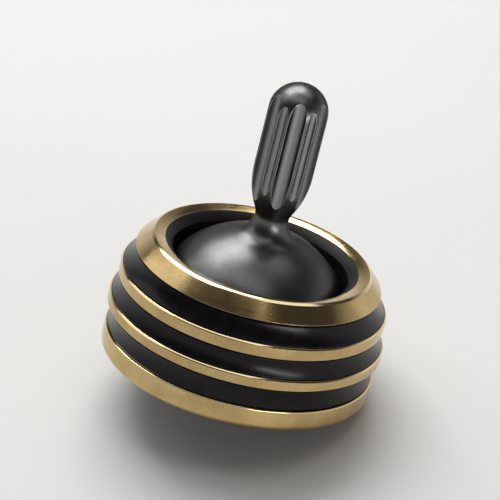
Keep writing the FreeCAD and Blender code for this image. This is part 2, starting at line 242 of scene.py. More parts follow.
# Painted light and shade: flute bottoms painted paler, flute walls painted dark.
FLUTE_BOTTOM_PAINTED_LIGHT = (0.27, 0.269, 0.265)
FLUTE_WALL_PAINTED_SHADE = (0.022, 0.022, 0.022)
SPINDLE = (0.42, 0.415, 0.4)
BEARING = (0.52, 0.515, 0.5)
CERAMIC = (0.8, 0.79, 0.75)
CERAMIC_CLEAN = (0.82, 0.81, 0.77)
CERAMIC_CLOUD = (0.74, 0.725, 0.68)
CERAMIC_RUBBED = (0.42, 0.41, 0.4)
OXIDE = (0.045, 0.043, 0.042)
OXIDE_DEEP = (0.042, 0.042, 0.044)
OXIDE_THIN = (0.08, 0.068, 0.056)
OXIDE_RUBBED = (0.3, 0.29, 0.27)
PAPER = (0.72, 0.715, 0.7)
PAPER_DEEP = (0.7, 0.695, 0.68)
PAPER_CLOUD = (0.74, 0.735, 0.72)
BACKDROP = (0.82, 0.82, 0.82)
CEILING = (0.06, 0.061, 0.065)


# ---------------------------------------------------------------- finishes
class Finish(Nodes):
    """A material under construction."""

    def __init__(self, name, base, **settings):
        self.material = bpy.data.materials.new(name)
        self.material.use_nodes = True
        super().__init__(self.material.node_tree)
        self.shader = self.nodes["Principled BSDF"]
        self.shader.inputs["Base Color"].default_value = (*base, 1)
        for socket, value in settings.items():
            self.shader.inputs[socket.replace("_", " ")].default_value = value

    def vector(self, x=0.0, y=0.0, z=0.0):
        return self.add("ShaderNodeCombineXYZ", {"X": x, "Y": y, "Z": z}).outputs[0]

    def noise(self, vector, scale, detail, w=None):
        """Cloudy noise with a number of clouds per unit of its vector."""
        inputs = {"Vector": vector, "Scale": scale, "Detail": detail}
        dimensions = "3D"
        if w is not None:
            inputs["W"] = w
            dimensions = "4D"
        return self.add("ShaderNodeTexNoise", inputs, noise_dimensions=dimensions).outputs[0]

    def attribute(self, name):
        return self.add("ShaderNodeAttribute", attribute_name=name).outputs["Fac"]

    def drive(self, **sources):
        """The material, once these sockets drive its shader."""
        for socket, source in sources.items():
            self.links.new(source, self.shader.inputs[socket.replace("_", " ")])
        return self.material

    def bump(self, height, distance, normal=None):
        inputs = {"Height": height, "Distance": distance}
        if normal is not None:
            inputs["Normal"] = normal
        return self.add("ShaderNodeBump", inputs).outputs[0]


def spin_place(finish):
    """Object coordinates in millimetres, round the spin axis and from the tip ball's centre."""
    coordinates = finish.add("ShaderNodeTexCoord").outputs["Object"]
    inputs = {"Vector": coordinates, "Location": TIP, "Rotation": (0, LEAN, 0), "Scale": (MM, MM, MM)}
    return finish.add("ShaderNodeMapping", inputs, vector_type="TEXTURE").outputs[0]


def lathe_marks(finish, place, density, wander=0.6):
    """Noise that runs in rings round the spin axis, with a number of marks per millimetre."""
    parts = finish.add("ShaderNodeSeparateXYZ", {0: place})
    flat = finish.vector(parts.outputs[0], parts.outputs[1])
    radius = finish.add("ShaderNodeVectorMath", {0: flat}, operation="LENGTH").outputs["Value"]
    around = finish.add("ShaderNodeVectorMath", {0: flat}, operation="NORMALIZE").outputs[0]
    turn = finish.add("ShaderNodeSeparateXYZ", {0: around})
    vector = finish.vector(
        finish.times(turn.outputs[0], wander),
        finish.times(turn.outputs[1], wander),
        finish.times(radius, density),
    )
    return finish.noise(vector, 1.0, 3.0, w=finish.times(parts.outputs[2], density))


def scratches(finish, place, turn, density):
    """Near 1 along a few thin, straight and broken lines."""
    lengthwise = 0.12 * density
    inputs = {"Vector": place, "Rotation": turn, "Scale": (density, lengthwise, lengthwise)}
    stretched = finish.add("ShaderNodeMapping", inputs).outputs[0]
    lines = finish.noise(stretched, 1.0, 1.0)
    thin = finish.math("ABSOLUTE", finish.minus(lines, 0.5))
    broken = finish.ramp(finish.noise(place, 0.8, 2.0), 0.55, 0.65)
    return finish.times(finish.ramp(thin, 0.0, 0.012, 1.0, 0.0), broken)


def edge_wear_and_highlight(finish, radius, low=0.001, high=0.06):
    """Near 1 along sharp edges, from how far a rounded normal leaves the true one: edge wear, which the
    brass and the handle also paint bright as highlight lines.
    """
    rounded = finish.add("ShaderNodeBevel", {"Radius": radius}, samples=6).outputs[0]
    true = finish.add("ShaderNodeNewGeometry").outputs["Normal"]
    alike = finish.add("ShaderNodeVectorMath", {0: rounded, 1: true}, operation="DOT_PRODUCT")
    away = finish.minus(1.0, alike.outputs["Value"])
    return finish.ramp(away, low, high), rounded


def ring_brass():
    """Satin turned brass: rings of tool marks, a fine grain, a little tarnish; polished chamfers and sharp
    edges painted paler as highlight lines, partly polish and edge wear.
    """
    finish = Finish("ring_brass", BRASS, Metallic=1.0, Roughness=0.16)
    place = spin_place(finish)
    coarse = lathe_marks(finish, place, 3.0)
    fine = lathe_marks(finish, place, 12.0)
    grain = finish.noise(place, 9.0, 2.0)
    tarnish = finish.noise(place, 0.22, 5.0)
    specks = finish.noise(place, 3.5, 3.0)
    nicks = scratches(finish, place, (0.3, 0.5, 0.9), 9.0)
    polished = finish.attribute("polished")
    edge = edge_wear_and_highlight(finish, 0.06 * MM)[0]
    colour = finish.mix(finish.ramp(tarnish, 0.4, 0.66), BRASS_CLEAN, BRASS_TARNISHED)
    colour = finish.mix(finish.ramp(grain, 0.35, 0.65, 0.0, 0.45), colour, BRASS_GRAIN)
    colour = finish.mix(finish.ramp(specks, 0.6, 0.74, 0.0, 0.5), colour, BRASS_SPECK)
    colour = finish.mix(finish.times(nicks, 0.3), colour, BRASS_SCRATCH)
    # Painted highlight: polished chamfers painted paler, sharp edges paler still, partly polish and edge
    # wear.
    colour = finish.mix(finish.times(polished, 0.8), colour, BRASS_POLISH_HIGHLIGHT)
    colour = finish.mix(finish.times(edge, 0.85), colour, BRASS_EDGE_WEAR_AND_HIGHLIGHT)
    rough = finish.plus(finish.ramp(fine, 0.3, 0.7, 0.1, 0.18), finish.ramp(grain, 0.3, 0.7, -0.03, 0.06))
    rough = finish.plus(rough, finish.ramp(tarnish, 0.4, 0.7, -0.02, 0.1))
    rough = finish.minus(rough, finish.times(edge, 0.06))
    rough = finish.minus(rough, finish.times(polished, 0.08))
    rough = finish.math("MAXIMUM", rough, 0.05)
    height = finish.plus(finish.times(coarse, 0.7), finish.times(fine, 0.3))
    height = finish.plus(height, finish.times(grain, 0.8))
    height = finish.minus(height, finish.times(nicks, 0.5))
    height = finish.times(height, finish.ramp(polished, 0.0, 1.0, 1.0, 0.25))
    return finish.drive(Base_Color=colour, Roughness=rough, Normal=finish.bump(height, 0.0028 * MM))


def groove_black():
    """Deep black gloss with faint turning rings, a little dust and a few hairline scratches."""
    finish = Finish("groove_black", GROOVE, Metallic=0.0, Roughness=0.22, Specular_IOR_Level=0.18)
    place = spin_place(finish)
    fine = lathe_marks(finish, place, 9.0)
    cloud = finish.noise(place, 0.5, 4.0)
    dust = finish.noise(place, 9.0, 2.0)
    nicks = scratches(finish, place, (0.2, 0.1, 0.4), 7.0)
    colour = finish.mix(finish.ramp(cloud, 0.35, 0.7), GROOVE_DEEP, GROOVE_CLOUD)
    colour = finish.mix(finish.ramp(dust, 0.73, 0.8, 0.0, 0.4), colour, GROOVE_DUST)
    colour = finish.mix(finish.times(nicks, 0.3), colour, GROOVE_SCRATCH)
    rough = finish.plus(finish.ramp(cloud, 0.3, 0.7, 0.19, 0.26), finish.ramp(fine, 0.4, 0.7, 0.0, 0.05))
    return finish.drive(Base_Color=colour, Roughness=rough, Normal=finish.bump(fine, 0.0006 * MM))


def cup_black():
    """Black satin metal, turned, with a paler rubbed lip."""
    finish = Finish("cup_black", CUP, Metallic=0.0, Roughness=0.42, Specular_IOR_Level=0.1)
    place = spin_place(finish)
    fine = lathe_marks(finish, place, 8.0)
    cloud = finish.noise(place, 0.6, 4.0)
    edge, rounded = edge_wear_and_highlight(finish, 0.08 * MM)
    colour = finish.mix(finish.ramp(cloud, 0.35, 0.7), CUP_DEEP, CUP_CLOUD)
    colour = finish.mix(finish.times(edge, 0.6), colour, CUP_RUBBED)
    rough = finish.ramp(fine, 0.3, 0.7, 0.36, 0.5)
    return finish.drive(Base_Color=colour, Roughness=rough, Normal=finish.bump(fine, 0.002 * MM, rounded))


def handle_steel():
    """Gunmetal with a fine grain; painted light and shade on the flutes, bottoms paler and walls dark; edges
    painted bright, partly wear and partly painted highlight.
    """
    finish = Finish("handle_steel", GUNMETAL, Metallic=1.0, Roughness=0.34, Specular_Tint=GUNMETAL_GLANCE)
    place = spin_place(finish)
    rings = lathe_marks(finish, place, 5.0, wander=0.3)
    grain = finish.noise(place, 6.0, 3.0)
    pits = finish.noise(place, 14.0, 1.0)
    cloud = finish.noise(place, 0.35, 4.0)
    nicks = scratches(finish, place, (0.5, 0.2, 0.1), 8.0)
    flute_shading = finish.attribute("flute_shading")
    edge, rounded = edge_wear_and_highlight(finish, 0.06 * MM)
    colour = finish.mix(finish.ramp(cloud, 0.35, 0.68), GUNMETAL_DEEP, GUNMETAL_CLOUD)
    # Painted light and shade: flute bottoms paler and their walls dark, from each corner's share of the
    # flute's depth.
    bottom = finish.ramp(flute_shading, 0.6, 1.0)
    on_flute = finish.ramp(flute_shading, -0.5, 0.0)
    wall = finish.times(on_flute, finish.ramp(flute_shading, 0.4, 0.8, 0.9, 0.0))
    colour = finish.mix(bottom, colour, FLUTE_BOTTOM_PAINTED_LIGHT)
    colour = finish.mix(wall, colour, FLUTE_WALL_PAINTED_SHADE)
    dark = finish.mix(bottom, GUNMETAL_GRAIN, GUNMETAL)
    colour = finish.mix(finish.ramp(grain, 0.35, 0.7, 0.0, 0.4), colour, dark)
    colour = finish.mix(finish.times(nicks, 0.3), colour, GUNMETAL_SCRATCH)
    # Painted highlight: edges painted near white, partly edge wear.
    colour = finish.mix(finish.times(edge, 0.9), colour, GUNMETAL_EDGE_WEAR_AND_HIGHLIGHT)
    rough = finish.plus(finish.ramp(grain, 0.3, 0.7, 0.29, 0.37), finish.ramp(rings, 0.3, 0.7, -0.03, 0.04))
    rough = finish.plus(rough, finish.times(bottom, -0.02))
    rough = finish.math("SUBTRACT", rough, finish.times(edge, 0.12), clamp=True)
    height = finish.plus(finish.times(grain, 0.7), finish.times(pits, 0.5))
    height = finish.plus(height, finish.times(rings, 0.25))
    return finish.drive(Base_Color=colour, Roughness=rough, Normal=finish.bump(height, 0.005 * MM, rounded))


def ground_steel(name, base, roughness, marks):
    """Bare steel with ring-shaped grinding marks and a few darker stains."""
    finish = Finish(name, base, Metallic=1.0, Roughness=roughness)
    place = spin_place(finish)
    fine = lathe_marks(finish, place, marks)
    stain = finish.noise(place, 0.9, 4.0)
    darker = tuple(0.72 * channel for channel in base)
    colour = finish.mix(finish.ramp(stain, 0.5, 0.75, 0.0, 0.7), base, darker)
    rough = finish.ramp(fine, 0.3, 0.7, 0.7 * roughness, 1.4 * roughness)
    return finish.drive(Base_Color=colour, Roughness=rough, Normal=finish.bump(fine, 0.0015 * MM))


def cage_brass():
    """Machined brass, stained by oil."""
    finish = Finish("cage_brass", BRASS, Metallic=1.0, Roughness=0.3)
    place = spin_place(finish)
    fine = lathe_marks(finish, place, 10.0)
    stain = finish.noise(place, 1.4, 4.0)
    colour = finish.mix(finish.ramp(stain, 0.4, 0.7), CAGE_CLEAN, CAGE_STAINED)
    rough = finish.ramp(fine, 0.3, 0.7, 0.22, 0.4)
    return finish.drive(Base_Color=colour, Roughness=rough, Normal=finish.bump(fine, 0.002 * MM))


def tip_ceramic():
    """White ceramic, polished, with the faint grey rub mark of use at its foot."""
    finish = Finish("tip_ceramic", CERAMIC, Metallic=0.0, Roughness=0.08, Specular_IOR_Level=0.6)
    place = spin_place(finish)
    cloud = finish.noise(place, 1.2, 3.0)
    rubs = finish.noise(place, 9.0, 4.0)
    parts = finish.add("ShaderNodeSeparateXYZ", {0: place})
    foot = finish.ramp(parts.outputs[2], -1.5, -1.2, 1.0, 0.0)
    colour = finish.mix(finish.ramp(cloud, 0.35, 0.7), CERAMIC_CLEAN, CERAMIC_CLOUD)
    worn = finish.times(foot, finish.ramp(rubs, 0.4, 0.6, 0.2, 0.8))
    colour = finish.mix(worn, colour, CERAMIC_RUBBED)
    rough = finish.plus(finish.ramp(rubs, 0.4, 0.7, 0.05, 0.12), worn)
    return finish.drive(Base_Color=colour, Roughness=rough)


def screw_steel():
    """Black oxide on screws: dark satin, browner where it is rubbed thin, bare on the edges."""
    finish = Finish("screw_steel", OXIDE, Metallic=0.85, Roughness=0.34)
    place = spin_place(finish)
    grain = finish.noise(place, 11.0, 3.0)
    rub = finish.noise(place, 1.6, 4.0)
    edge, rounded = edge_wear_and_highlight(finish, 0.07 * MM)
    colour = finish.mix(finish.ramp(rub, 0.45, 0.7), OXIDE_DEEP, OXIDE_THIN)
    colour = finish.mix(finish.times(edge, 0.7), colour, OXIDE_RUBBED)
    rough = finish.ramp(grain, 0.3, 0.7, 0.26, 0.42)
    return finish.drive(Base_Color=colour, Roughness=rough, Normal=finish.bump(grain, 0.004 * MM, rounded))


materials = {
    "ring_brass": ring_brass(),
    "groove_black": groove_black(),
    "cup_black": cup_black(),
    "handle_steel": handle_steel(),
    "spindle_steel": ground_steel("spindle_steel", SPINDLE, roughness=0.26, marks=8.0),
    "bearing_steel": ground_steel("bearing_steel", BEARING, roughness=0.16, marks=12.0),
    "cage_brass": cage_brass(),
    "tip_ceramic": tip_ceramic(),
    "screw_steel": screw_steel(),
}


def paint(mesh, node):
    """Gives a mesh the one finish that a CAD node's slot names."""
    mesh.materials.clear()
    mesh.materials.append(materials[slots[node]])


for node in slots:
    paint(frame["nodes"][node].data, node)


# ---------------------------------------------------------------- geometry node trees
class Tree(Nodes):
    """A geometry node tree under construction, with named inputs for its sizes."""

    def __init__(self, name, inputs):
        self.group = bpy.data.node_groups.new(name, "GeometryNodeTree")
        super().__init__(self.group)
        interface = self.group.interface
        for title, kind in {"Geometry": "Geometry", **inputs, "Material": "Material"}.items():
            interface.new_socket(title, in_out="INPUT", socket_type="NodeSocket" + kind)
        interface.new_socket("Geometry", in_out="OUTPUT", socket_type="NodeSocketGeometry")
        self.inputs = self.add("NodeGroupInput").outputs

    def moved(self, geometry, x=0.0, z=0.0, turn=(0, 0, 0)):
        """The geometry shifted along X and Z and turned."""
        shift = self.add("ShaderNodeCombineXYZ", {"X": x, "Z": z}).outputs[0]
        inputs = {"Geometry": geometry, "Translation": shift, "Rotation": turn}
        return self.add("GeometryNodeTransform", inputs).outputs[0]

    def finish(self, geometry):
        """Real geometry with the material that the tree's input names."""
        real = self.add("GeometryNodeRealizeInstances", {"Geometry": geometry}).outputs[0]
        inputs = {"Geometry": real, "Material": self.inputs["Material"]}
        painted = self.add("GeometryNodeSetMaterial", inputs).outputs[0]
        self.add("NodeGroupOutput", {"Geometry": painted})
        return self.group


def turning_tree():
    """Sweeps a closed section, drawn in the XZ plane, round the Z axis and rounds its corners."""
    tree = Tree("turning", {"Segments": "Int", "Middle radius": "Float", "Edge rounding": "Float"})
    given = tree.inputs
    section = tree.add("GeometryNodeMeshToCurve", {0: given["Geometry"]}).outputs[0]
    rounded = tree.add(
        "GeometryNodeFilletCurve",
        {"Curve": section, "Count": EDGE_STEPS, "Radius": given["Edge rounding"], "Limit Radius": True},
        mode="POLY",
    ).outputs[0]
    inward = tree.moved(rounded, x=tree.times(given["Middle radius"], -1.0))
    laid = tree.moved(inward, turn=(math.pi / 2, 0, 0))
    circle = {"Resolution": given["Segments"], "Radius": given["Middle radius"]}
    path = tree.add("GeometryNodeCurvePrimitiveCircle", circle).outputs[0]
    swept = tree.add("GeometryNodeCurveToMesh", {"Curve": path, "Profile Curve": laid}).outputs[0]
    joined = {"Geometry": swept, "Distance": MERGE_DISTANCE}
    merged = tree.add("GeometryNodeMergeByDistance", joined).outputs[0]
    outward = tree.add("GeometryNodeFlipFaces", {"Mesh": merged}).outputs[0]
    return tree.finish(tree.add("GeometryNodeSetShadeSmooth", {"Geometry": outward}).outputs[0])


def screw_circle_tree():
    """Cap screws with a sunk drive, evenly placed on a circle, their heads facing down."""
    sizes = ("Circle radius", "Level", "Head radius", "Head height", "Shank radius", "Shank length")
    tree = Tree("screw_circle", {"Count": "Int", **dict.fromkeys(sizes, "Float")})
    given = tree.inputs

    def bar(vertices, radius, length):
        inputs = {"Vertices": vertices, "Radius": radius, "Depth": length}
        return tree.add("GeometryNodeMeshCylinder", inputs).outputs["Mesh"]

    head = bar(HEAD_SEGMENTS, given["Head radius"], given["Head height"])
    head = tree.moved(head, z=tree.times(given["Head height"], 0.5))
    drilled = {"Mesh 1": head, "Mesh 2": bar(DRIVE_SIDES, DRIVE_RADIUS, 2 * DRIVE_DEPTH)}
    driven = tree.add("GeometryNodeMeshBoolean", drilled, operation="DIFFERENCE").outputs[0]
    shank = bar(SHANK_SEGMENTS, given["Shank radius"], given["Shank length"])
    half = tree.times(given["Shank length"], 0.5)
    shank = tree.moved(shank, z=tree.plus(given["Head height"], half))
    screw = tree.add("GeometryNodeJoinGeometry")
    tree.links.new(driven, screw.inputs[0])
    tree.links.new(shank, screw.inputs[0])
    ring = {"Vertices": given["Count"], "Radius": given["Circle radius"]}
    circle = tree.moved(tree.add("GeometryNodeMeshCircle", ring).outputs[0], z=given["Level"])
    placed = tree.add("GeometryNodeInstanceOnPoints", {"Points": circle, "Instance": screw.outputs[0]})
    return tree.finish(placed.outputs[0])


def sectors_tree():
    """Repeats one sector of a piece round the Z axis and joins the copies edge to edge."""
    tree = Tree("sectors", {"Count": "Int"})
    given = tree.inputs
    step = tree.math("DIVIDE", 2 * math.pi, given["Count"])
    index = tree.add("GeometryNodeInputIndex").outputs[0]
    turn = tree.add("ShaderNodeCombineXYZ", {"Z": tree.times(index, step)}).outputs[0]
    points = tree.add("GeometryNodePoints", {"Count": given["Count"]}).outputs[0]
    placed = {"Points": points, "Instance": given["Geometry"], "Rotation": turn}
    copies = tree.add("GeometryNodeInstanceOnPoints", placed).outputs[0]
    real = tree.add("GeometryNodeRealizeInstances", {"Geometry": copies}).outputs[0]
    joined = {"Geometry": real, "Distance": MERGE_DISTANCE}
    return tree.finish(tree.add("GeometryNodeMergeByDistance", joined).outputs[0])


turning = turning_tree()
screw_circle = screw_circle_tree()
sectors = sectors_tree()


# ---------------------------------------------------------------- pieces
def piece_of(name, data):
    """An object in the scene, at the origin, from its mesh, lamp or camera data."""
    thing = bpy.data.objects.new(name, data)
    bpy.context.scene.collection.objects.link(thing)
    return thing


def plain_mesh(name, drawn):
    """Mesh data from a drawn bmesh."""
    data = bpy.data.meshes.new(name)
    drawn.to_mesh(data)
    drawn.free()
    return data


def bake(piece):
    """Gives a piece the plain mesh that its modifiers make of it."""
    graph = bpy.context.evaluated_depsgraph_get()
    mesh = bpy.data.meshes.new_from_object(piece.evaluated_get(graph))
    piece.modifiers.clear()
    piece.data = mesh


def modified(piece, kind, **settings):
    """Applies one modifier to a piece."""
    modifier = piece.modifiers.new(kind.lower(), kind)
    for setting, value in settings.items():
        setattr(modifier, setting, value)
    bake(piece)


def grown(piece, tree, inputs):
    """Applies a geometry node tree to a piece, with its named inputs set."""
    modifier = piece.modifiers.new(tree.name, "NODES")
    modifier.node_group = tree
    for item in tree.interface.items_tree:
        if item.in_out == "INPUT" and item.name in inputs:
            modifier[item.identifier] = inputs[item.name]
    bake(piece)


def dress(piece, node, body):
    """Leans an upright piece over to stand for a CAD node, on its body and in its finish."""
    if not piece.data.has_custom_normals:
        modified(piece, "WEIGHTED_NORMAL", keep_sharp=True, weight=80)
    piece.data.transform(LEANED)
    paint(piece.data, node)
    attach(piece, body)
    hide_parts(node)


def turned(node, section, rounding=EDGE_ROUNDING):
    """An upright turned piece from its section as radii and levels."""
    joints = [(index, (index + 1) % len(section)) for index in range(len(section))]
    mesh = bpy.data.meshes.new(node + "_section")
    mesh.from_pydata([(radius, 0, level) for radius, level in section], joints, [])
    piece = piece_of(node + "_turned", mesh)
    radii = [radius for radius, level in section]
    inputs = {
        "Segments": TURN_SEGMENTS,
        "Middle radius": (min(radii) + max(radii)) / 2,
        "Edge rounding": rounding,
        "Material": materials[slots[node]],
    }
    grown(piece, turning, inputs)
    return piece


def brass_ring(node, section, rounding=EDGE_ROUNDING):
    """A turned ring of the rotor, its upper chamfers marked for their polish and for a painted highlight."""
    piece = turned(node, section, rounding)
    polished = piece.data.attributes.new("polished", "FLOAT", "FACE")
    for face in piece.data.polygons:
        polished.data[face.index].value = float(CHAMFER_SLOPE[0] < face.normal.z < CHAMFER_SLOPE[1])
    dress(piece, node, "rotor")


# ---------------------------------------------------------------- rings of the rotor
def arc(start, end, depth, steps):
    """Points of a shallow arc from start to end that dips to the left of its chord by a depth."""
    (r0, z0), (r1, z1) = start, end
    chord = math.hypot(r1 - r0, z1 - z0)
    radius = (chord**2 / 4 + depth**2) / (2 * depth)
    half = math.asin(chord / 2 / radius)
    along = ((r1 - r0) / chord, (z1 - z0) / chord)
    across = (-along[1], along[0])
    points = []
    for step in range(steps + 1):
        angle = -half + 2 * half * step / steps
        forward = chord / 2 + radius * math.sin(angle)
        side = radius * (math.cos(angle) - math.cos(half))
        radius_here = r0 + along[0] * forward + across[0] * side
        level_here = z0 + along[1] * forward + across[1] * side
        points.append((radius_here, level_here))
    return points


def rim_section():
    """The rim's ring: chamfered below and above, its face dished down to the bore."""
    rim = Turned("rim_ring")
    foot = rim.radii(rim.bottom)[1]
    chamfer = rim.outer - foot
    edge = rim.top - chamfer
    return [
        (rim.inner, rim.bottom), (foot, rim.bottom), (rim.outer, rim.bottom + chamfer),
        (rim.radii(edge)[1], edge), (rim.radii(rim.top)[1], rim.top), (rim.inner, rim.levels(rim.inner)[1]),
    ]


def band_section(node):
    """A brass band between two grooves, chamfered on both edges."""
    band = Turned(node)
    foot = band.radii(band.bottom)[1]
    head = band.radii(band.top)[1]
    return [
        (band.inner, band.bottom), (foot, band.bottom), (band.outer, band.bottom + band.outer - foot),
        (band.outer, band.top - (band.outer - head)), (head, band.top), (band.inner, band.top),
    ]


def groove_section(node):
    """A black ring with a shallow cove turned into its side."""
    groove = Turned(node)
    lower = (groove.radii(groove.bottom)[1], groove.bottom)
    upper = (groove.radii(groove.top)[1], groove.top)
    cove = arc(lower, upper, COVE_DEPTH, COVE_STEPS)
    return [(groove.inner, groove.bottom), *cove, (groove.inner, groove.top)]


def base_section():
    """The lowest ring: its foot rounded, with a recess for the cup's flange."""
    base = Turned("base_ring")
    foot = []
    for step in range(FOOT_STEPS + 1):
        angle = math.pi / 2 * step / FOOT_STEPS
        reach = base.outer - BASE_FOOT + BASE_FOOT * math.sin(angle)
        foot.append((reach, base.bottom + BASE_FOOT - BASE_FOOT * math.cos(angle)))
    head = base.radii(base.top)[1]
    recess = base.radii(base.bottom)[0]
    shelf = base.levels(recess)[1]
    return [
        (recess, base.bottom), *foot, (base.outer, base.top - (base.outer - head)), (head, base.top),
        (base.inner, base.top), (base.inner, shelf), (recess, shelf),
    ]


# ---------------------------------------------------------------- cup, plate and tip holder
def cup_section():
    """The cup's wall, its flange below, and the web and boss that hold the bearing."""
    cup = Turned("rotor_cup")
    plate = Turned("retainer_plate")
    race = Turned("bearing_outer_race")
    bore = cup.radii(cup.bottom)[0]
    boss = plate.outer
    wall = cup.radii(cup.top)[1]
    flange_top = cup.levels(cup.outer)[1]
    underside, web_bottom, web_top, lip_bottom = cup.steps(bore)
    boss_top = cup.levels(boss)[1]
    return [
        (bore, underside), (cup.outer, underside), (cup.outer, flange_top), (wall, flange_top),
        (wall, cup.top), (bore, lip_bottom), (bore, web_top), (boss, web_top), (boss, boss_top),
        (plate.inner, boss_top), (plate.inner, race.top), (race.outer, race.top),
        (race.outer, race.bottom), (boss, race.bottom), (boss, web_bottom), (bore, web_bottom),
    ]


def cutter(count, circle, radius, bottom, top):
    """Upright cylinders on a circle, each with a wider mouth at its lower end."""
    drawn = bmesh.new()
    outline = [(radius + 2 * BORE_MOUTH, bottom - BORE_MOUTH), (radius, bottom + BORE_MOUTH), (radius, top)]
    angles = [2 * math.pi * step / BORE_SEGMENTS for step in range(BORE_SEGMENTS)]
    for index in range(count):
        turn = 2 * math.pi * index / count
        x = circle * math.cos(turn)
        y = circle * math.sin(turn)
        rings = []
        for reach, level in outline:
            corners = [(x + reach * math.cos(angle), y + reach * math.sin(angle), level) for angle in angles]
            rings.append([drawn.verts.new(corner) for corner in corners])
        for lower, upper in zip(rings, rings[1:]):
            for step in range(BORE_SEGMENTS):
                following = (step + 1) % BORE_SEGMENTS
                face = drawn.faces.new((lower[step], lower[following], upper[following], upper[step]))
                face.smooth = True
        drawn.faces.new(reversed(rings[0]))
        drawn.faces.new(rings[-1])
    return piece_of("cutter", plain_mesh("cutter", drawn))


def screw_circle_of(node):
    """A set of screws as measured, the radius of their circle and the radius of their heads."""
    measured = Turned(node)
    return measured, (measured.outer + measured.inner) / 2, (measured.outer - measured.inner) / 2


def rotor_cup():
    """The turned cup with a counterbore for every clamp screw."""
    cup = turned("rotor_cup", cup_section())
    measured, circle, head = screw_circle_of("clamp_screws")
    seat = measured.bottom + SCREW_HEAD_HEIGHT
    bores = cutter(CLAMP_SCREW_COUNT, circle, head + BORE_CLEARANCE, Turned("rotor_cup").bottom, seat)
    modified(cup, "BOOLEAN", operation="DIFFERENCE", object=bores, solver="EXACT")
    bpy.data.objects.remove(bores)
    cup.data.set_sharp_from_angle(angle=math.radians(SHARP_ANGLE))
    return cup


def retainer_section():
    """The flat plate that keeps the bearing in its boss."""
    plate = Turned("retainer_plate")
    return [
        (plate.inner, plate.bottom), (plate.outer, plate.bottom),
        (plate.outer, plate.top), (plate.inner, plate.top),
    ]


def holder_section():
    """The nut under the bearing: a collar, a wider body and a cone down to the tip ball."""
    holder = Turned("tip_holder")
    collar = holder.radii(holder.top)[1]
    collar_bottom = holder.levels(collar)[0]
    ledge = holder.radii(collar_bottom)[1]
    body_bottom, body_top = holder.levels(holder.outer)
    nose = holder.radii(holder.bottom)[1]
    return [
        (HOLDER_CORE, holder.bottom), (nose, holder.bottom), (holder.outer, body_bottom),
        (holder.outer, body_top), (ledge, collar_bottom), (collar, collar_bottom),
        (collar, holder.top), (HOLDER_CORE, holder.top),
    ]


def screws(node, count):
    """A set of cap screws where the node has its plainer ones."""
    measured, circle, head = screw_circle_of(node)
    inputs = {
        "Count": count,
        "Circle radius": circle,
        "Level": measured.bottom,
        "Head radius": head,
        "Head height": SCREW_HEAD_HEIGHT,
        "Shank radius": SCREW_RADIUS,
        "Shank length": measured.top - measured.bottom - SCREW_HEAD_HEIGHT,
        "Material": materials[slots[node]],
    }
    piece = piece_of(node + "_driven", bpy.data.meshes.new(node))
    grown(piece, screw_circle, inputs)
    limit = math.radians(SHARP_ANGLE)
    modified(piece, "BEVEL", width=SCREW_BEVEL, segments=2, limit_method="ANGLE", angle_limit=limit)
    for face in piece.data.polygons:
        face.use_smooth = True
    return piece


def tip_ball():
    """A fine round ball; the solid's own mesh shows its facets."""
    drawn = bmesh.new()
    bmesh.ops.create_icosphere(drawn, subdivisions=5, radius=(ball_high - ball_low).z / 2)
    for face in drawn.faces:
        face.smooth = True
    return piece_of("tip_ball_fine", plain_mesh("tip_ball_fine", drawn))


# ---------------------------------------------------------------- handle
handle = Turned("handle")
skirt_top = handle.bottom + SKIRT_HEIGHT
crown = skirt_top + DOME_HEIGHT
waist = crown + NECK_RISE
shoulder = waist + SHOULDER_HEIGHT
knob_centre = shoulder + KNOB_HEIGHT
KNOB_RADIUS = handle.top - knob_centre
shoulder_slope = 2 * math.atan2(KNOB_RADIUS - NECK_RADIUS, SHOULDER_HEIGHT)
shoulder_rounding = SHOULDER_HEIGHT / math.sin(shoulder_slope) - NECK_UPPER_ROUNDING
shoulder_foot = shoulder - shoulder_rounding * math.sin(shoulder_slope)


def half_width(radius, depth):
    """Half the angle that a flute takes of the knob."""
    axis = KNOB_RADIUS - depth + radius
    return math.acos((KNOB_RADIUS**2 + axis**2 - radius**2) / (2 * KNOB_RADIUS * axis))


def sector_columns():
    """Angle, radius and share of the flute's depth for the columns of a wide and a narrow flute."""
    columns = []
    centre = math.radians(FLUTE_TURN)
    step = math.pi / FLUTE_PAIRS
    for flute, following in ((WIDE_FLUTE, NARROW_FLUTE), (NARROW_FLUTE, WIDE_FLUTE)):
        radius, depth = flute
        axis = KNOB_RADIUS - depth + radius
        half = half_width(radius, depth)
        span = math.asin(KNOB_RADIUS * math.sin(half) / radius)
        for count in range(FLUTE_STEPS + 1):
            turn = -span + 2 * span * count / FLUTE_STEPS
            x = axis - radius * math.cos(turn)
            y = radius * math.sin(turn)
            share = (KNOB_RADIUS - math.hypot(x, y)) / depth
            columns.append((centre + math.atan2(y, x), math.hypot(x, y), share))
        land_start = centre + half
        land_end = centre + step - half_width(*following)
        for count in range(1, LAND_STEPS):
            columns.append((land_start + (land_end - land_start) * count / LAND_STEPS, KNOB_RADIUS, 0.0))
        centre += step
    first_angle, first_radius, first_share = columns[0]
    return [*columns, (first_angle + 2 * step, first_radius, first_share)]


def polar(centre, radius, degrees):
    """The point of a circle that lies in a direction, counted from straight outwards."""
    angle = math.radians(degrees)
    return (centre[0] + radius * math.cos(angle), centre[1] + radius * math.sin(angle))


def sweep(centre, radius, start, end, steps):
    """Points of an arc in the section, without its first point."""
    return [polar(centre, radius, start + (end - start) * step / steps) for step in range(1, steps + 1)]


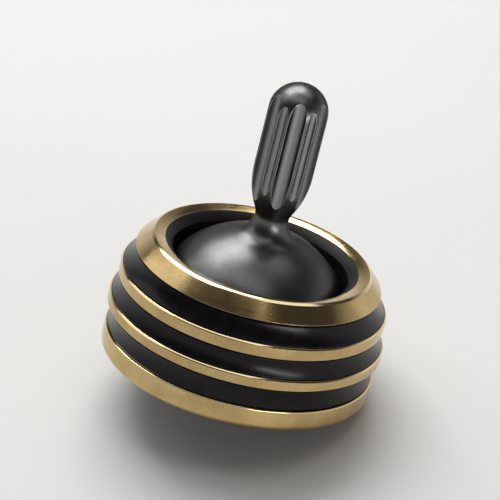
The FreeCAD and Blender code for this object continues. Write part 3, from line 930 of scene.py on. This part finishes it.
def dome_line():
    """Points of the section from the waist down over the dome to the foot of the skirt."""
    edge_circle = handle.outer - DOME_EDGE_ROUNDING
    dome_radius = edge_circle**2 + DOME_HEIGHT**2 - DOME_EDGE_ROUNDING**2
    dome_radius /= 2 * (DOME_HEIGHT - DOME_EDGE_ROUNDING)
    dome_centre = crown - dome_radius
    rise = waist - dome_centre
    rounding = (rise**2 + NECK_RADIUS**2 - dome_radius**2) / (2 * (dome_radius - NECK_RADIUS))
    neck_angle = math.degrees(math.atan2(rise, NECK_RADIUS + rounding))
    edge_angle = math.degrees(math.atan2(skirt_top - dome_centre, edge_circle))
    points = sweep((NECK_RADIUS + rounding, waist), rounding, 180, 180 + neck_angle, NECK_STEPS)
    points += sweep((0, dome_centre), dome_radius, neck_angle, edge_angle, DOME_STEPS)
    points += sweep((edge_circle, skirt_top), DOME_EDGE_ROUNDING, edge_angle, 0, DOME_EDGE_STEPS)
    return points + [(handle.outer, handle.bottom)]


def shoulder_line():
    """Points of the section from the straight part of the knob down to the waist."""
    slope = math.degrees(shoulder_slope)
    shoulder_circle = (KNOB_RADIUS - shoulder_rounding, shoulder)
    neck_circle = (NECK_RADIUS + NECK_UPPER_ROUNDING, waist)
    points = [(KNOB_RADIUS, shoulder)]
    points += sweep(shoulder_circle, shoulder_rounding, 0, -slope, SHOULDER_STEPS)
    return points + sweep(neck_circle, NECK_UPPER_ROUNDING, 180 - slope, 180, WAIST_STEPS)


def from_radius(points, radius):
    """The rest of a falling section, from where it has come in to a radius."""
    for index, (here, there) in enumerate(zip(points, points[1:])):
        if there[0] <= radius <= here[0]:
            share = (here[0] - radius) / (here[0] - there[0])
            start = (radius, here[1] + (there[1] - here[1]) * share)
            return [start, *points[index + 1 :]]
    return points


def spaced(points, steps):
    """The same line through a set number of evenly spaced points, both ends included."""
    lengths = [0.0]
    for here, there in zip(points, points[1:]):
        lengths.append(lengths[-1] + math.dist(here, there))
    line = []
    index = 0
    for step in range(steps + 1):
        goal = lengths[-1] * step / steps
        while index < len(points) - 2 and lengths[index + 1] < goal:
            index += 1
        share = (goal - lengths[index]) / (lengths[index + 1] - lengths[index])
        share = min(max(share, 0.0), 1.0)
        line.append(tuple(a + (b - a) * share for a, b in zip(points[index], points[index + 1])))
    return line


def knob_column(radius, below):
    """One column's section: over the round top, down the flute or land, and in to the waist."""
    over = math.degrees(math.acos(min(radius / KNOB_RADIUS, 1.0)))
    top = sweep((0, knob_centre), KNOB_RADIUS, 90, over, KNOB_ROWS)
    tail = spaced(from_radius(below, radius), SHOULDER_ROWS)
    fall = tail[0][1] - top[-1][1]
    straight = [(radius, top[-1][1] + fall * row / FLUTE_ROWS) for row in range(1, FLUTE_ROWS)]
    return top + straight + tail


def handle_sector():
    """One sector of knob, neck and dome as a skin whose rows follow the ends of the flutes."""
    drawn = bmesh.new()
    # Each flute corner carries its share of the flute's depth, and -1 elsewhere, for the painted light and
    # shade of the flutes.
    flute_shading = drawn.loops.layers.float.new("flute_shading")
    pole = drawn.verts.new((0, 0, handle.top))
    foot = drawn.verts.new((0, 0, handle.bottom))
    below = shoulder_line()
    dome = dome_line()
    columns = sector_columns()
    lines = []
    for angle, radius, share in columns:
        across = math.cos(angle)
        along = math.sin(angle)
        section = knob_column(radius, below) + dome
        lines.append([drawn.verts.new((r * across, r * along, level)) for r, level in section])
    flute_rows = range(KNOB_ROWS - 1, KNOB_ROWS - 1 + FLUTE_ROWS)
    for index, (left, right) in enumerate(zip(lines, lines[1:])):
        shares = (columns[index][2], columns[index][2], columns[index + 1][2], columns[index + 1][2])
        on_flute = max(shares) > 0
        drawn.faces.new((pole, left[0], right[0]))
        for row in range(len(left) - 1):
            face = drawn.faces.new((left[row], left[row + 1], right[row + 1], right[row]))
            for corner, share in zip(face.loops, shares):
                corner[flute_shading] = share if on_flute and row in flute_rows else -1.0
        drawn.faces.new((left[-1], foot, right[-1]))
    for face in drawn.faces:
        face.smooth = True
    return plain_mesh("handle_sector", drawn)


def skin_normal(point):
    """The true normal where a point lies on the round top or the shoulder, and elsewhere none."""
    around = math.hypot(point.x, point.y)
    if point.z > knob_centre - SAME:
        centre, bend = (0.0, knob_centre), KNOB_RADIUS
    elif shoulder_foot < point.z < shoulder + SAME:
        centre, bend = (KNOB_RADIUS - shoulder_rounding, shoulder), shoulder_rounding
    elif waist - SAME < point.z <= shoulder_foot:
        centre, bend = (NECK_RADIUS + NECK_UPPER_ROUNDING, waist), -NECK_UPPER_ROUNDING
    else:
        return None
    outward = around - centre[0]
    upward = point.z - centre[1]
    if abs(math.hypot(outward, upward) - abs(bend)) > SAME:
        return None
    level = outward / bend / around if around > SAME else 0.0
    return Vector((point.x * level, point.y * level, upward / bend)).normalized()


def fluted_handle():
    """The whole handle: sharp along the flutes, with true normals on the round skin between them."""
    piece = piece_of("handle_fluted", handle_sector())
    inputs = {"Count": FLUTE_PAIRS, "Material": materials["handle_steel"]}
    grown(piece, sectors, inputs)
    mesh = piece.data
    mesh.set_sharp_from_angle(angle=math.radians(FLUTE_EDGE_ANGLE))
    normals = [corner.vector.copy() for corner in mesh.corner_normals]
    true = [skin_normal(vertex.co) for vertex in mesh.vertices]
    for face in mesh.polygons:
        if all(true[vertex] for vertex in face.vertices):
            for corner in face.loop_indices:
                normals[corner] = true[mesh.loops[corner].vertex_index]
    mesh.normals_split_custom_set(normals)
    return piece


# ---------------------------------------------------------------- the dressed top
brass_ring("rim_ring", rim_section())
for band in ("band_ring_upper", "band_ring_lower"):
    brass_ring(band, band_section(band))
for groove in ("groove_ring_top", "groove_ring_middle", "groove_ring_bottom"):
    dress(turned(groove, groove_section(groove), 0.0), groove, "rotor")
brass_ring("base_ring", base_section(), 0.0)
dress(rotor_cup(), "rotor_cup", "rotor")
dress(turned("retainer_plate", retainer_section()), "retainer_plate", "rotor")
dress(screws("clamp_screws", CLAMP_SCREW_COUNT), "clamp_screws", "rotor")
dress(screws("retainer_screws", RETAINER_SCREW_COUNT), "retainer_screws", "rotor")
dress(turned("tip_holder", holder_section()), "tip_holder", "hub")
dress(tip_ball(), "tip_ball", "hub")
dress(fluted_handle(), "handle", "hub")


# ---------------------------------------------------------------- camera, light and floor
VIEW_AZIMUTH = math.radians(-35.86)
VIEW_ELEVATION = math.radians(33.55)
VIEW_DISTANCE = 550.57 * MM
VIEW_LENS = 288                # focal length and film width, in millimetres
VIEW_FILM = 36
VIEW_RANGE = (0.01, 20)        # nearest and farthest that the camera sees
VIEW_RIGHT = -1.77 * MM        # the view's centre lies this far from the rim's centre
VIEW_UP = 0.30 * MM
FLOOR_HALF = 1.5               # of its width
FLOOR_FADE = (0.1, 0.45)       # the floor runs out into the backdrop between these distances
WALL_FADE = (0.05, 0.38)       # the pale walls turn into the ceiling between these rises
WALL_LIGHT = 0.1               # of the studio's walls on the top


def heading(azimuth, elevation):
    """The direction that a view from an azimuth looks in, raised by an elevation."""
    level = math.cos(elevation)
    return Vector((-math.sin(azimuth) * level, math.cos(azimuth) * level, math.sin(elevation)))


def aimed(name, data, location, facing):
    """A camera or lamp at a place, looking along a direction."""
    thing = piece_of(name, data)
    thing.location = location
    thing.rotation_mode = "QUATERNION"
    thing.rotation_quaternion = facing.to_track_quat("-Z", "Y")
    return thing


def camera():
    """A long lens that looks down on the rim from the front left."""
    forward = heading(VIEW_AZIMUTH, -VIEW_ELEVATION)
    right = Vector((math.cos(VIEW_AZIMUTH), math.sin(VIEW_AZIMUTH), 0))
    aim = LEANED @ Vector((0, 0, Turned("rim_ring").top))
    data = bpy.data.cameras.new("camera")
    data.lens = VIEW_LENS
    data.sensor_width = VIEW_FILM
    data.clip_start, data.clip_end = VIEW_RANGE
    centre = aim + VIEW_RIGHT * right + VIEW_UP * right.cross(forward)
    bpy.context.scene.camera = aimed("camera", data, centre - VIEW_DISTANCE * forward, forward)


def softbox(name, turn, elevation, distance, width, height, radiance):
    """An area lamp that faces the top, its turn counted clockwise from straight behind it."""
    data = bpy.data.lights.new(name, "AREA")
    data.shape = "RECTANGLE"
    data.size = width
    data.size_y = height
    data.energy = radiance * math.pi * width * height
    towards = heading(VIEW_AZIMUTH - math.radians(turn), math.radians(elevation))
    lit = LEANED @ Vector((0, 0, Turned("rim_ring").bottom))
    lamp = aimed(name, data, lit + distance * towards, -towards)
    lamp.visible_camera = False


def floor():
    """A wide pale sheet that the top stands on; far off it runs out into the backdrop."""
    mesh = bpy.data.meshes.new("floor")
    corners = [(-1, -1), (1, -1), (1, 1), (-1, 1)]
    mesh.from_pydata([(FLOOR_HALF * x, FLOOR_HALF * y, 0) for x, y in corners], [], [(0, 1, 2, 3)])
    finish = Finish("floor_paper", PAPER, Metallic=0.0, Roughness=0.75)
    coordinates = finish.add("ShaderNodeTexCoord").outputs["Object"]
    fibre = finish.noise(coordinates, 900.0, 4.0)
    cloud = finish.noise(coordinates, 8.0, 2.0)
    colour = finish.mix(finish.ramp(cloud, 0.3, 0.7), PAPER_DEEP, PAPER_CLOUD)
    finish.drive(Base_Color=colour, Normal=finish.bump(fibre, 0.03 * MM))
    away = finish.add("ShaderNodeVectorMath", {0: coordinates}, operation="LENGTH").outputs["Value"]
    far = finish.times(finish.ramp(away, *FLOOR_FADE), finish.studio_rays())
    backdrop = finish.add("ShaderNodeEmission", {"Color": (*BACKDROP, 1)}).outputs[0]
    sheet = finish.add("ShaderNodeMixShader", {0: far, 1: finish.shader.outputs[0], 2: backdrop})
    finish.links.new(sheet.outputs[0], finish.nodes["Material Output"].inputs["Surface"])
    mesh.materials.append(finish.material)
    piece_of("floor", mesh)


def world():
    """A pale studio, seen and mirrored brighter at the walls than overhead."""
    sky = bpy.data.worlds.new("studio")
    bpy.context.scene.world = sky
    sky.use_nodes = True
    studio = Nodes(sky.node_tree)
    walls = studio.nodes["Background"]
    walls.inputs["Color"].default_value = (WALL_LIGHT, WALL_LIGHT, WALL_LIGHT, 1)
    direction = studio.add("ShaderNodeTexCoord").outputs["Generated"]
    rise = studio.add("ShaderNodeSeparateXYZ", {0: direction}).outputs["Z"]
    fade = studio.mix(studio.ramp(rise, *WALL_FADE), BACKDROP, CEILING)
    backdrop = studio.add("ShaderNodeBackground", {"Color": fade}).outputs[0]
    mixed = {0: studio.studio_rays(), 1: walls.outputs[0], 2: backdrop}
    mix = studio.add("ShaderNodeMixShader", mixed).outputs[0]
    studio.links.new(mix, studio.nodes["World Output"].inputs["Surface"])


camera()
floor()
world()
softbox("key", turn=-10, elevation=52, distance=0.7, width=0.58, height=0.43, radiance=6.3)
softbox("left", turn=-60, elevation=42, distance=0.35, width=0.2, height=0.26, radiance=1.15)
softbox("top", turn=-150, elevation=85, distance=0.4, width=0.46, height=0.14, radiance=1.2)
softbox("right", turn=45, elevation=56, distance=0.4, width=0.22, height=0.2, radiance=1.1)
softbox("front", turn=150, elevation=7, distance=0.35, width=0.22, height=0.06, radiance=9.0)
bpy.context.scene.view_settings.view_transform = "Standard"
